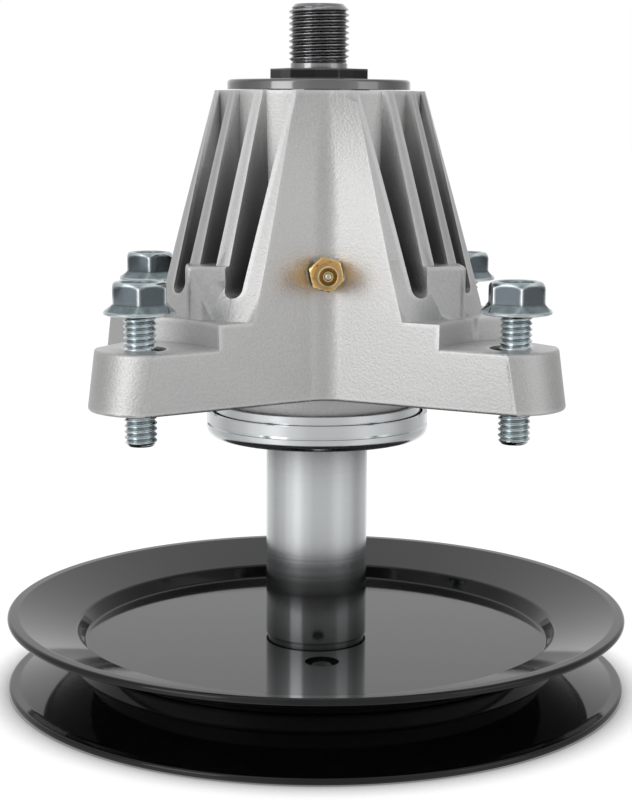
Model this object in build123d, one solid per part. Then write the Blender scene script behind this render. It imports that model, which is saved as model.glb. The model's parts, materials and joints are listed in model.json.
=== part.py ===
from build123d import *
import os
from math import cos, pi, radians, sin, sqrt

# Mower deck spindle, standing on its pulley with the blade end up.
# The frame has its origin on the spindle axis at the bottom of the pulley's lower rim.
# +Z points up the shaft to the blade thread, and -Y is the side with the grease fitting.
# All lengths are millimetres.

# Fits
SLIP = 0.03
RUN = 0.35
SHEET = 1.4

# Pulley pressed from two sheets
PULLEY_RADIUS = 82.55
PULLEY_SHEET = 2.0
WEB_RADIUS = 62.6
STEP_RUN = 2.1
STEP_RISE = 3.5
CONE_RISE = 4.9
LIP_WIDTH = 2.9
WEB_HOLE_RADIUS = 4.4
WEB_HOLE_OFFSET = 25.8
PULLEY_BORE_RADIUS = 8.7

# Shaft
JOURNAL_RADIUS = 10.0
DRIVE_RADIUS = 8.6
DRIVE_FLAT = 7.6
THREAD_RADIUS = 7.8
NECK_RADIUS = 7.35
NECK_LENGTH = 1.7
BLADE_THREAD_LENGTH = 14.7
THREAD_CHAMFER = 1.2
NUT_THREAD_RADIUS = 7.8

# Pulley nut
NUT_FLATS = 23.8
NUT_HEIGHT = 7.2
NUT_FLANGE_RADIUS = 14.5
NUT_FLANGE_HEIGHT = 1.8

# Sleeve between the pulley and the dust cups
SLEEVE_RADIUS = 13.46
SLEEVE_FOOT_GROOVE = 1.1
SLEEVE_FOOT_RADIUS = 12.9
SLEEVE_LENGTH = 55.1

# Dust cups
CUP_RUN = 0.7
OUTER_CUP_HEIGHT = 6.8
OUTER_CUP_CORNER = 4.2
CUP_BEAD = 0.35
CUP_GAP = 0.6
CUP_WALL = 1.2
INNER_CUP_HEIGHT = 7.5
INNER_CUP_CORNER = 2.6
SHIM_HEIGHT = 1.2
SHIM_RADIUS = 13.8

# Deep groove ball bearings
BEARING_RADIUS = 23.5
BEARING_WIDTH = 14.0
BALL_RADIUS = 3.9
BALL_COUNT = 8
BALL_GAP = 0.12
INNER_RACE_RADIUS = 14.2
OUTER_RACE_WALL = 4.0
CAGE_THICKNESS = 1.6
CAGE_WIDTH = 4.6
CAGE_POCKET_GAP = 0.25
SEAL_THICKNESS = 0.8
SEAL_RECESS = 0.5

# Cast housing
BOSS_WALL = 2.1
BOSS_FLOOR_GAP = 0.6
FLANGE_GAP = 5.1
FLANGE_THICKNESS = 14.8
HOUSING_HEIGHT = 76.3
HOUSING_TOP_RADIUS = 27.8
CONE_SLOPE = 0.31
BARREL_RADIUS = 26.7
GREASE_CAVITY_RADIUS = 19.5
BEARING_SHOULDER = 2.0
TOP_BEARING_RECESS = 1.9
PLATFORM_RISE = 5.8
BLOCK_RISE = 18.8
BLOCK_HALF = 34.5
RELIEF_RADIUS = 33.0
RELIEF_CENTRE = 57.6
NOTCH_DEPTH_RADIUS = 31.9
VALLEY_LEAN = 5.9
VALLEY_FILLET = 8.0
LOBE_INNER = 43.8
LOBE_INNER_DRAFT = 0.248
LOBE_INNER_CURVE = 0.076
LOBE_OUTER = 58.0
LOBE_OUTER_DRAFT = 0.0707
LOBE_OUTER_CURVE = 0.412
FIN_INNER = 3.2
FIN_INNER_FOOT = 2.8
FIN_THICKNESS = 2.5
FIN_THICKNESS_FOOT = 4.2
SLOT_WIDTH_TOP = 7.4
SLOT_WIDTH_BOTTOM = 4.8
SLOT_FLOOR_RISE = 11.2
BLOCK_CORNER = 1.6
LOBE_CORNER = 1.7
LOBE_CORNER_TOP = 0.3
EDGE_ROUND = 0.8

# Deck screws
SCREW_SPACING = 90.6
SCREW_RADIUS = 3.97
SCREW_LENGTH = 31.75
SCREW_STANDOFF = 8.3
SCREW_FLATS = 12.7
SCREW_FLANGE_RADIUS = 8.7
SCREW_FLANGE_EDGE = 0.9
SCREW_FLANGE_HEIGHT = 2.4
SCREW_HEAD_HEIGHT = 7.9
SCREW_DIMPLE_RADIUS = 4.3
SCREW_DIMPLE_DEPTH = 1.6
SCREW_TIP_CHAMFER = 0.9
SCREW_CROWN_CHAMFER = 1.1
SCREW_LEAD_RADIUS = 3.7
HOLE_MOUTH_RADIUS = 6.35
HOLE_MOUTH_DEPTH = 6.0

# Blade star and top dust washer
WASHER_RADIUS = 23.7
WASHER_HEIGHT = 2.5
WASHER_HUB_RADIUS = 13.4
WASHER_EDGE = 0.9
STAR_HEIGHT = 2.8
STAR_TIP_RADIUS = 12.75
STAR_ROOT_RADIUS = 10.8
STAR_POINTS = 6
STAR_TURN = -9.5
STAR_EDGE = 0.35

# Grease fitting
FITTING_RISE = 31.7
FITTING_SEAT = 32.2
FITTING_SPOT_RADIUS = 4.9
FITTING_FLATS = 7.94
FITTING_TURN = 43.0
FITTING_HEX_LENGTH = 3.6
FITTING_NECK_RADIUS = 2.45
FITTING_NECK_LENGTH = 2.6
FITTING_HEAD_RADIUS = 3.3
FITTING_HEAD_LENGTH = 2.8
FITTING_SHANK_RADIUS = 3.1
FITTING_SHANK_LENGTH = 8.5
FITTING_BORE_RADIUS = 1.35
FITTING_MOUTH_RADIUS = 0.95
FITTING_PASSAGE_RADIUS = 0.8
FITTING_LIP = 0.9
CHECK_BALL_RADIUS = 1.15
CHECK_TRAVEL = 0.6
SPRING_WIRE_RADIUS = 0.16
SPRING_RADIUS = 0.95
SPRING_LENGTH = 5.0
SPRING_TURNS = 7

# Radii that follow from the sizes above, from the bearing outwards
BOSS_RADIUS = BEARING_RADIUS + BOSS_WALL
INNER_CUP_RADIUS = BOSS_RADIUS + CUP_RUN + CUP_WALL
OUTER_CUP_RADIUS = INNER_CUP_RADIUS + CUP_GAP + CUP_WALL

# Levels that follow from the sizes above, from the floor up
RIM_DROP = STEP_RISE + CONE_RISE
WEB_PLANE = RIM_DROP + PULLEY_SHEET
WEB_TOP = WEB_PLANE + PULLEY_SHEET
WEB_BOTTOM = WEB_PLANE - PULLEY_SHEET
NUT_BOTTOM = WEB_BOTTOM - NUT_HEIGHT
SLEEVE_TOP = WEB_TOP + SLEEVE_LENGTH
OUTER_CUP_TOP = SLEEVE_TOP + OUTER_CUP_HEIGHT
INNER_CUP_FLOOR = SLEEVE_TOP + SHEET
INNER_CUP_PLATE = INNER_CUP_FLOOR + SHEET
LOWER_BEARING = INNER_CUP_PLATE + SHIM_HEIGHT
BOSS_BOTTOM = INNER_CUP_PLATE + BOSS_FLOOR_GAP
FLANGE_BOTTOM = INNER_CUP_FLOOR + INNER_CUP_HEIGHT + FLANGE_GAP
FLANGE_TOP = FLANGE_BOTTOM + FLANGE_THICKNESS
PLATFORM_TOP = FLANGE_TOP + PLATFORM_RISE
BLOCK_TOP = FLANGE_TOP + BLOCK_RISE
SLOT_FLOOR = FLANGE_TOP + SLOT_FLOOR_RISE
HOUSING_TOP = FLANGE_BOTTOM + HOUSING_HEIGHT
UPPER_BEARING = HOUSING_TOP - TOP_BEARING_RECESS - BEARING_WIDTH
WASHER_BOTTOM = HOUSING_TOP + RUN
WASHER_TOP = WASHER_BOTTOM + WASHER_HEIGHT
STAR_TOP = WASHER_TOP + STAR_HEIGHT
NECK_TOP = STAR_TOP + NECK_LENGTH
SHAFT_TOP = NECK_TOP + BLADE_THREAD_LENGTH
SHAFT_BOTTOM = NUT_BOTTOM + 0.2
FITTING_Z = FLANGE_BOTTOM + FITTING_RISE
SCREW_SEAT = FLANGE_TOP + SCREW_STANDOFF
SCREW_TIP = SCREW_SEAT - SCREW_LENGTH


def tube(outer, inner, bottom, top):
    """A plain ring standing on the axis between two heights."""
    height = top - bottom
    middle = Pos(0, 0, bottom + height / 2)
    return middle * (Cylinder(outer, height) - Cylinder(inner, height + 2))


def turned(points):
    """A solid turned about the axis from (radius, height) points."""
    outline = make_face(Polyline(*points, close=True))
    return revolve(Plane.XZ * outline, Axis.Z)


def four_times(shape):
    """The shape and its three copies at quarter turns."""
    return [Rot(0, 0, 90 * turn) * shape for turn in range(4)]


# Cast housing


def lobed_outline(height):
    """Four-lobed section of the casting's outer walls at a height above the flange bottom."""
    share = height / HOUSING_HEIGHT
    valley = NOTCH_DEPTH_RADIUS - VALLEY_LEAN * share
    near = LOBE_INNER * (1 - LOBE_INNER_DRAFT * share - LOBE_INNER_CURVE * share ** 2)
    far = LOBE_OUTER * (1 - LOBE_OUTER_DRAFT * share - LOBE_OUTER_CURVE * share ** 2)
    points = []
    for turn in range(4):
        c = cos(turn * pi / 2)
        s = sin(turn * pi / 2)
        for x, y in ((0, -valley), (near, -far), (far, -near)):
            points.append((c * x - s * y, s * x + c * y))
    face = make_face(Polyline(*points, close=True))
    corners = face.vertices().sort_by(lambda v: v.X ** 2 + v.Y ** 2)[4:]
    face = fillet(corners, LOBE_CORNER + (LOBE_CORNER_TOP - LOBE_CORNER) * share)
    valleys = face.vertices().sort_by(lambda v: v.X ** 2 + v.Y ** 2)[:4]
    return fillet(valleys, VALLEY_FILLET)


def outer_walls():
    """The drafted, four-valleyed envelope that cuts every outer wall of the casting."""
    shares = (0.0, 0.2, 0.45, 0.72, 1.0)
    sections = [Pos(0, 0, FLANGE_BOTTOM + share * HOUSING_HEIGHT) * lobed_outline(share * HOUSING_HEIGHT)
                for share in shares]
    return loft(sections)


def cone_radius(level):
    """Radius of the fin crests at a height."""
    return HOUSING_TOP_RADIUS + CONE_SLOPE * (HOUSING_TOP - level)


def slab(size, bottom, top):
    """A block standing on the axis, as wide as size, between two heights."""
    return Pos(0, 0, (bottom + top) / 2) * Box(size, size, top - bottom)


def slab_round(radius, bottom, top):
    """A disc standing on the axis between two heights."""
    return Pos(0, 0, (bottom + top) / 2) * Cylinder(radius, top - bottom)


def fin_slots():
    """Cutters for the three slots of one corner, pulled out along the diagonal."""
    barrel = Pos(0, 0, (FLANGE_BOTTOM + HOUSING_TOP) / 2) * Cylinder(BARREL_RADIUS, HOUSING_HEIGHT * 2)
    flank = FIN_INNER + FIN_THICKNESS
    foot = FIN_INNER_FOOT + FIN_THICKNESS_FOOT
    above = HOUSING_TOP + FLANGE_GAP
    side = make_face(Polyline(
        (foot, SLOT_FLOOR), (foot + SLOT_WIDTH_BOTTOM, SLOT_FLOOR),
        (flank + SLOT_WIDTH_TOP, HOUSING_TOP), (flank + SLOT_WIDTH_TOP, above),
        (flank, above), (flank, HOUSING_TOP), close=True))
    side = fillet(side.vertices().sort_by(Axis.Y)[:2], SLOT_WIDTH_BOTTOM * 0.47)
    middle = make_face(Polyline(
        (-FIN_INNER_FOOT, BLOCK_TOP), (FIN_INNER_FOOT, BLOCK_TOP), (FIN_INNER, HOUSING_TOP), (FIN_INNER, above),
        (-FIN_INNER, above), (-FIN_INNER, HOUSING_TOP), close=True))
    outlines = [side, mirror(side, Plane.YZ), middle]
    diagonal = Plane(origin=(0, 0, 0), x_dir=(0, 1, 0), z_dir=(1, 0, 0))
    cutters = [extrude(diagonal * outline, 2 * LOBE_OUTER) - barrel for outline in outlines]
    return [Rot(0, 0, -45) * cutter for cutter in cutters]


def screw_places():
    """Centres of the four deck screws."""
    half = SCREW_SPACING / 2
    return [(-half, -half), (half, -half), (half, half), (-half, half)]


def spindle_housing():
    """The ribbed aluminium casting that carries both bearings."""
    walls = outer_walls()
    flange = slab(4 * LOBE_OUTER, FLANGE_BOTTOM, FLANGE_TOP) & walls
    rims = flange.faces().sort_by(Axis.Z)
    flange = fillet(rims[0].edges() + rims[-1].edges(), EDGE_ROUND)
    root = FLANGE_TOP - 2 * EDGE_ROUND
    platform = slab(4 * LOBE_OUTER, root, PLATFORM_TOP)
    relief = Pos(RELIEF_CENTRE, RELIEF_CENTRE, PLATFORM_TOP) * Cylinder(RELIEF_RADIUS, 4 * PLATFORM_RISE)
    waste = Pos(2 * LOBE_OUTER, 2 * LOBE_OUTER, PLATFORM_TOP) * Box(3 * LOBE_INNER, 3 * LOBE_INNER, 4 * PLATFORM_RISE)
    for cutter in four_times(relief) + four_times(waste):
        platform -= cutter
    block = slab(2 * BLOCK_HALF, root, BLOCK_TOP)
    block = fillet(block.edges().filter_by(Axis.Z), BLOCK_CORNER)
    block = fillet(block.faces().sort_by(Axis.Z)[-1].edges(), EDGE_ROUND)
    cone_height = HOUSING_TOP - root
    cone = Pos(0, 0, root + cone_height / 2) * Cone(cone_radius(root), HOUSING_TOP_RADIUS, cone_height)
    body = flange + ((platform + block + cone) & walls)
    for cutter in fin_slots():
        for copy in four_times(cutter):
            body -= copy
    boss = tube(BOSS_RADIUS, JOURNAL_RADIUS, BOSS_BOTTOM, FLANGE_BOTTOM + 1)
    body += boss
    body -= Pos(0, 0, HOUSING_TOP) * Cylinder(GREASE_CAVITY_RADIUS, HOUSING_HEIGHT * 4)
    seat = BEARING_RADIUS + SLIP
    body -= slab_round(seat, BOSS_BOTTOM - 1, LOWER_BEARING + BEARING_WIDTH)
    body -= slab_round(seat, UPPER_BEARING, HOUSING_TOP + 1)
    for x, y in screw_places():
        body -= Pos(x, y, FLANGE_TOP) * Cylinder(SCREW_RADIUS + SLIP, 3 * FLANGE_THICKNESS)
        body -= Pos(x, y, FLANGE_TOP) * Cylinder(HOLE_MOUTH_RADIUS, 2 * HOLE_MOUTH_DEPTH)
    passage = FITTING_SEAT - JOURNAL_RADIUS
    body -= in_fitting(Cylinder(FITTING_SHANK_RADIUS + SLIP, 2 * (passage - SLEEVE_RADIUS / 4)))
    spot = Cylinder(FITTING_SPOT_RADIUS, FITTING_SHANK_LENGTH)
    body -= in_fitting(Pos(0, 0, FITTING_SHANK_LENGTH / 2) * spot)
    return body


# Bearings


def bearing_race_radii():
    """Pitch radius of the balls."""
    outer_inside = BEARING_RADIUS - OUTER_RACE_WALL
    return (outer_inside + INNER_RACE_RADIUS) / 2


def ball_ring(bottom, radius):
    """A torus-shaped raceway about the ball circle."""
    return Pos(0, 0, bottom + BEARING_WIDTH / 2) * Torus(bearing_race_radii(), radius)


def outer_race(bottom):
    """Outer race with its raceway and the steps that hold the seals."""
    ring = tube(BEARING_RADIUS, BEARING_RADIUS - OUTER_RACE_WALL, bottom, bottom + BEARING_WIDTH)
    return ring - ball_ring(bottom, BALL_RADIUS + BALL_GAP)


def inner_race(bottom):
    """Inner race with its raceway."""
    ring = tube(INNER_RACE_RADIUS, JOURNAL_RADIUS + SLIP, bottom, bottom + BEARING_WIDTH)
    return ring - ball_ring(bottom, BALL_RADIUS + BALL_GAP)


def bearing_balls(bottom):
    """The balls on their circle."""
    middle = bottom + BEARING_WIDTH / 2
    step = 360 / BALL_COUNT
    return [Rot(0, 0, step * number) * Pos(bearing_race_radii(), 0, middle) * Sphere(BALL_RADIUS)
            for number in range(BALL_COUNT)]


def bearing_cage(bottom):
    """Ring with a pocket round each ball."""
    middle = bottom + BEARING_WIDTH / 2
    pitch = bearing_race_radii()
    ring = tube(pitch + CAGE_THICKNESS / 2, pitch - CAGE_THICKNESS / 2,
                middle - CAGE_WIDTH, middle + CAGE_WIDTH)
    step = 360 / BALL_COUNT
    for number in range(BALL_COUNT):
        pocket = Pos(pitch, 0, middle) * Rot(0, 90, 0) * Cylinder(BALL_RADIUS + CAGE_POCKET_GAP, 4 * CAGE_THICKNESS)
        ring -= Rot(0, 0, step * number) * pocket
    return ring


def bearing_seals(bottom):
    """The two thin seals that close a bearing's sides."""
    outside = BEARING_RADIUS - OUTER_RACE_WALL - SLIP
    inside = INNER_RACE_RADIUS + RUN
    low = bottom + SEAL_RECESS
    high = bottom + BEARING_WIDTH - SEAL_RECESS - SEAL_THICKNESS
    return [tube(outside, inside, level, level + SEAL_THICKNESS) for level in (low, high)]


# Turning parts


def thread_end(radius, bottom, top, chamfer_size):
    """A threaded end as a plain cylinder with a chamfered tip at its top."""
    return turned([(0, bottom), (radius, bottom), (radius, top - chamfer_size),
                   (radius - chamfer_size, top), (0, top)])


def drive_section(bottom, top, clearance):
    """Round section with two flats that turns the blade star and the pulley."""
    height = top - bottom
    middle = Pos(0, 0, (bottom + top) / 2)
    return middle * (Cylinder(DRIVE_RADIUS + clearance, height)
                     & Box(4 * DRIVE_RADIUS, 2 * (DRIVE_FLAT + clearance), height))


def spindle_shaft():
    """Stepped shaft: nut thread, pulley drive, journal, blade drive, neck and blade thread."""
    shaft = Pos(0, 0, (SHAFT_BOTTOM + WEB_BOTTOM) / 2) * Cylinder(NUT_THREAD_RADIUS - SLIP, WEB_BOTTOM - SHAFT_BOTTOM)
    shaft += drive_section(WEB_BOTTOM, WEB_TOP, 0)
    shaft += Pos(0, 0, (WEB_TOP + WASHER_TOP) / 2) * Cylinder(JOURNAL_RADIUS, WASHER_TOP - WEB_TOP)
    shaft += drive_section(WASHER_TOP, STAR_TOP - 0.2, 0)
    shaft += Pos(0, 0, (WASHER_TOP + NECK_TOP) / 2) * Cylinder(NECK_RADIUS, NECK_TOP - WASHER_TOP)
    shaft += thread_end(THREAD_RADIUS, NECK_TOP, SHAFT_TOP, THREAD_CHAMFER)
    return shaft


def blade_star():
    """Six-pointed plate that the blade drops over."""
    points = []
    for number in range(2 * STAR_POINTS):
        radius = STAR_TIP_RADIUS if number % 2 == 0 else STAR_ROOT_RADIUS
        angle = radians(STAR_TURN + number * 180 / STAR_POINTS)
        points.append((radius * cos(angle), radius * sin(angle)))
    outline = make_face(Polyline(*points, close=True))
    outline = fillet(outline.vertices(), STAR_EDGE)
    plate = extrude(Pos(0, 0, WASHER_TOP) * outline, STAR_HEIGHT)
    return plate - drive_section(WASHER_TOP - 1, STAR_TOP + 1, SLIP)


def dust_washer():
    """Turned steel disc over the blade bearing, with a short hub that seats on its inner race."""
    hub_bottom = UPPER_BEARING + BEARING_WIDTH
    bore = JOURNAL_RADIUS + SLIP
    edge = WASHER_EDGE
    outline = make_face(Polyline(
        (bore, hub_bottom), (WASHER_HUB_RADIUS, hub_bottom), (WASHER_HUB_RADIUS, WASHER_BOTTOM),
        (WASHER_RADIUS, WASHER_BOTTOM), (WASHER_RADIUS, WASHER_TOP), (bore, WASHER_TOP), close=True))
    corner = outline.vertices().sort_by(lambda v: v.X + v.Y)[-1]
    outline = fillet(corner, edge)
    return revolve(Plane.XZ * outline, Axis.Z)


def inner_spacer_tube():
    """Tube that keeps the two inner races apart inside the housing."""
    return tube(SHIM_RADIUS, JOURNAL_RADIUS + SLIP, LOWER_BEARING + BEARING_WIDTH, UPPER_BEARING)


def bearing_shim():
    """Washer between the dust cups and the pulley bearing's inner race."""
    return tube(SHIM_RADIUS, JOURNAL_RADIUS + SLIP, INNER_CUP_PLATE, LOWER_BEARING)


def dust_cup_inner():
    """Inner pressed cup that runs close round the housing's boss."""
    outside = INNER_CUP_RADIUS
    inside = outside - CUP_WALL
    bore = JOURNAL_RADIUS + SLIP
    floor = INNER_CUP_FLOOR
    top = floor + INNER_CUP_HEIGHT
    outline = make_face(Polyline(
        (bore, floor), (outside, floor), (outside, top), (inside, top),
        (inside, floor + SHEET), (bore, floor + SHEET), close=True))
    corners = outline.vertices().sort_by(lambda v: v.X - v.Y)
    outline = fillet(corners[-1], INNER_CUP_CORNER)
    return revolve(Plane.XZ * outline, Axis.Z)


def dust_cup_outer():
    """Outer pressed cup with a rolled bead low on its wall."""
    outside = OUTER_CUP_RADIUS
    inside = outside - CUP_WALL
    bore = JOURNAL_RADIUS + SLIP
    bead = SLEEVE_TOP + OUTER_CUP_HEIGHT * 0.54
    outline = make_face(Polyline(
        (bore, SLEEVE_TOP), (outside, SLEEVE_TOP), (outside, bead - CUP_BEAD), (outside - CUP_BEAD, bead),
        (outside, bead + CUP_BEAD), (outside, OUTER_CUP_TOP), (inside, OUTER_CUP_TOP),
        (inside, SLEEVE_TOP + SHEET), (bore, SLEEVE_TOP + SHEET), close=True))
    corner = outline.vertices().sort_by(lambda v: v.X - v.Y)[-1]
    outline = fillet(corner, min(OUTER_CUP_CORNER, OUTER_CUP_HEIGHT * 0.4))
    return revolve(Plane.XZ * outline, Axis.Z)


def pulley_sleeve():
    """Zinc plated spacer tube with a narrow groove at its foot."""
    foot = WEB_TOP + SLEEVE_FOOT_GROOVE
    bore = JOURNAL_RADIUS + SLIP
    return turned([(bore, WEB_TOP), (SLEEVE_FOOT_RADIUS, WEB_TOP), (SLEEVE_FOOT_RADIUS, foot),
                   (SLEEVE_RADIUS, foot), (SLEEVE_RADIUS, SLEEVE_TOP), (bore, SLEEVE_TOP)])


def pulley_half(side):
    """One pressed half: web, step wall, belt flank and rolled lip, above or below the joint plane."""
    sheet = PULLEY_SHEET
    lip_start = PULLEY_RADIUS - LIP_WIDTH
    upper = [(1, 0), (WEB_RADIUS, 0), (WEB_RADIUS + STEP_RUN, STEP_RISE), (lip_start, RIM_DROP),
             (PULLEY_RADIUS, RIM_DROP)]
    low = [(radius, height) for radius, height in upper]
    high = [(radius - (0.55 if 1 < number < 3 else 0), height + sheet) for number, (radius, height) in enumerate(upper)]
    outline = make_face(Polyline(*low, *reversed(high), close=True))
    rounded = [v for v in outline.vertices() if v.X > PULLEY_RADIUS - 1]
    outline = fillet(rounded, sheet * 0.45)
    bends = [v for v in outline.vertices() if WEB_RADIUS - 1 < v.X < lip_start + 1]
    outline = fillet(bends, sheet * 0.4)
    half = revolve(Plane.XZ * outline, Axis.Z)
    if side < 0:
        half = mirror(half, Plane.XY)
    half = Pos(0, 0, WEB_PLANE) * half
    half -= drive_section(WEB_BOTTOM - 1, WEB_TOP + 1, SLIP)
    half -= Pos(0, -WEB_HOLE_OFFSET, WEB_PLANE) * Cylinder(WEB_HOLE_RADIUS, 4 * sheet)
    return half


def pulley_nut():
    """Low flanged hexagon nut under the pulley's web."""
    hexagon = extrude(Pos(0, 0, NUT_BOTTOM) * RegularPolygon(NUT_FLATS / 2, 6, major_radius=False), NUT_HEIGHT)
    crown = turned([(0, NUT_BOTTOM), (NUT_FLATS / 2, NUT_BOTTOM), (NUT_FLATS / 2 + 2.2, NUT_BOTTOM + 1.2),
                    (NUT_FLATS / 2 + 2.2, WEB_BOTTOM), (0, WEB_BOTTOM)])
    flange = turned([(0, WEB_BOTTOM - NUT_FLANGE_HEIGHT - 1), (NUT_FLATS / 2, WEB_BOTTOM - NUT_FLANGE_HEIGHT - 1),
                     (NUT_FLANGE_RADIUS, WEB_BOTTOM - NUT_FLANGE_HEIGHT * 0.5), (NUT_FLANGE_RADIUS, WEB_BOTTOM),
                     (0, WEB_BOTTOM)])
    nut = (hexagon & crown) + flange
    return nut - Pos(0, 0, WEB_BOTTOM) * Cylinder(NUT_THREAD_RADIUS, 4 * NUT_HEIGHT)


# Fasteners and grease fitting


def deck_screw():
    """Flanged hexagon screw, standing at the origin with its seat at z = 0 and its shank below."""
    apothem = SCREW_FLATS / 2
    corner = apothem / cos(pi / 6)
    head = extrude(RegularPolygon(apothem, 6, rotation=30, major_radius=False), SCREW_HEAD_HEIGHT)
    crown = turned([(0, 0), (corner + 1, 0), (corner + 1, SCREW_HEAD_HEIGHT - SCREW_CROWN_CHAMFER),
                    (apothem - 0.3, SCREW_HEAD_HEIGHT), (0, SCREW_HEAD_HEIGHT)])
    flange = turned([(0, 0), (SCREW_FLANGE_RADIUS, 0), (SCREW_FLANGE_RADIUS, SCREW_FLANGE_EDGE),
                     (corner - 0.2, SCREW_FLANGE_HEIGHT), (0, SCREW_FLANGE_HEIGHT)])
    dimple = Pos(0, 0, SCREW_HEAD_HEIGHT - SCREW_DIMPLE_DEPTH / 2) * Cone(
        SCREW_DIMPLE_RADIUS - 1, SCREW_DIMPLE_RADIUS, SCREW_DIMPLE_DEPTH)
    lead = FLANGE_BOTTOM - SCREW_SEAT
    shank = turned([(0, 0), (SCREW_RADIUS, 0), (SCREW_RADIUS, lead), (SCREW_LEAD_RADIUS, lead),
                    (SCREW_LEAD_RADIUS, SCREW_TIP_CHAMFER - SCREW_LENGTH),
                    (SCREW_LEAD_RADIUS - SCREW_TIP_CHAMFER, -SCREW_LENGTH), (0, -SCREW_LENGTH)])
    return ((head & crown) + flange) - dimple + shank


def deck_screws():
    """The four screws, partly driven into the flange."""
    screw = deck_screw()
    return [Pos(x, y, SCREW_SEAT) * screw for x, y in screw_places()]


def in_fitting(shape):
    """Place a shape built along +Z, from the fitting's seat outwards, on the housing's front."""
    return Pos(0, -FITTING_SEAT, FITTING_Z) * Rot(90, 0, 0) * shape


def fitting_levels():
    """Heights along the fitting: end of the hexagon, neck and head."""
    hexagon = FITTING_HEX_LENGTH
    neck = hexagon + FITTING_NECK_LENGTH
    return hexagon, neck, neck + FITTING_HEAD_LENGTH


def grease_fitting_body():
    """Brass body with its shank, hexagon, neck, head and ball chamber."""
    hexagon, neck, head = fitting_levels()
    body = extrude(RegularPolygon(FITTING_FLATS / 2, 6, rotation=FITTING_TURN, major_radius=False), hexagon)
    body &= turned([(0, 0), (FITTING_FLATS, 0), (FITTING_FLATS, hexagon - 1.9),
                    (FITTING_FLATS / 2 - 0.2, hexagon), (0, hexagon)])
    body += turned([
        (0, -FITTING_SHANK_LENGTH), (FITTING_SHANK_RADIUS, -FITTING_SHANK_LENGTH), (FITTING_SHANK_RADIUS, 0.5),
        (FITTING_NECK_RADIUS, 0.6), (FITTING_NECK_RADIUS, neck - 0.5), (FITTING_HEAD_RADIUS, neck + 0.3),
        (FITTING_HEAD_RADIUS, neck + 0.9), (FITTING_HEAD_RADIUS * 0.62, head), (0, head)])
    chamber_top = head - FITTING_LIP
    chamber_floor = spring_level() - CHECK_TRAVEL - 0.1
    body -= turned([
        (0, -FITTING_SHANK_LENGTH - 1), (FITTING_PASSAGE_RADIUS, -FITTING_SHANK_LENGTH - 1),
        (FITTING_PASSAGE_RADIUS, chamber_floor), (FITTING_BORE_RADIUS, chamber_floor),
        (FITTING_BORE_RADIUS, chamber_top - 0.4), (FITTING_MOUTH_RADIUS, chamber_top),
        (FITTING_MOUTH_RADIUS, head - FITTING_LIP * 0.4), (FITTING_MOUTH_RADIUS * 1.9, head + 0.01),
        (FITTING_MOUTH_RADIUS * 1.9, head + 1), (0, head + 1)])
    return in_fitting(body)


def check_ball_level():
    """Height of the check ball's centre when it closes the mouth."""
    reach = sqrt((CHECK_BALL_RADIUS + SLIP) ** 2 - FITTING_MOUTH_RADIUS ** 2)
    return fitting_levels()[2] - FITTING_LIP - reach


def spring_level():
    """Height of the spring's lower end with the mouth closed."""
    touch = sqrt(CHECK_BALL_RADIUS ** 2 - SPRING_RADIUS ** 2) + SPRING_WIRE_RADIUS
    return check_ball_level() - touch - SPRING_LENGTH


def grease_fitting_ball():
    """Steel check ball behind the fitting's mouth."""
    return in_fitting(Pos(0, 0, check_ball_level()) * Sphere(CHECK_BALL_RADIUS))


def grease_fitting_spring():
    """Spring that holds the check ball against its seat."""
    path = Pos(0, 0, spring_level()) * Helix(SPRING_LENGTH / SPRING_TURNS, SPRING_LENGTH, SPRING_RADIUS)
    start = path @ 0
    profile = Plane(origin=start, z_dir=path % 0) * Circle(SPRING_WIRE_RADIUS)
    return in_fitting(sweep(profile, path=path, is_frenet=True))


def pieces():
    """Every node of the spindle with its solid or solids."""
    return {
        "spindle_housing": spindle_housing(),
        "deck_screws": Compound(deck_screws()),
        "grease_fitting_body": grease_fitting_body(),
        "grease_fitting_ball": grease_fitting_ball(),
        "grease_fitting_spring": grease_fitting_spring(),
        "blade_bearing_outer_race": outer_race(UPPER_BEARING),
        "blade_bearing_inner_race": inner_race(UPPER_BEARING),
        "blade_bearing_balls": Compound(bearing_balls(UPPER_BEARING)),
        "blade_bearing_cage": bearing_cage(UPPER_BEARING),
        "blade_bearing_seals": Compound(bearing_seals(UPPER_BEARING)),
        "pulley_bearing_outer_race": outer_race(LOWER_BEARING),
        "pulley_bearing_inner_race": inner_race(LOWER_BEARING),
        "pulley_bearing_balls": Compound(bearing_balls(LOWER_BEARING)),
        "pulley_bearing_cage": bearing_cage(LOWER_BEARING),
        "pulley_bearing_seals": Compound(bearing_seals(LOWER_BEARING)),
        "spindle_shaft": spindle_shaft(),
        "blade_star": blade_star(),
        "dust_washer": dust_washer(),
        "inner_spacer_tube": inner_spacer_tube(),
        "bearing_shim": bearing_shim(),
        "dust_cup_inner": dust_cup_inner(),
        "dust_cup_outer": dust_cup_outer(),
        "pulley_sleeve": pulley_sleeve(),
        "pulley_upper_half": pulley_half(1),
        "pulley_lower_half": pulley_half(-1),
        "pulley_nut": pulley_nut(),
    }


os.makedirs("parts", exist_ok=True)
for name, shape in pieces().items():
    export_step(shape, f"parts/{name}.step")
print("floor", 0, "web", WEB_TOP, "cup", SLEEVE_TOP, "flange", FLANGE_BOTTOM, "top", HOUSING_TOP, SHAFT_TOP)
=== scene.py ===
# %% [markdown]
# Mower deck spindle: from a bare model to a studio picture.
#
# The object is a blade spindle that stands upside down on its belt pulley. Its working pieces come from a
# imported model, so this lesson gives them finishes, threads and the soft edges of real castings and pressings,
# and then sets up the camera and the light. Every length is in metres, with the pulley's rim on the floor.

# %% Load the frame
import json
import math

import bmesh
import bpy
from mathutils import Matrix, Vector


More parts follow.
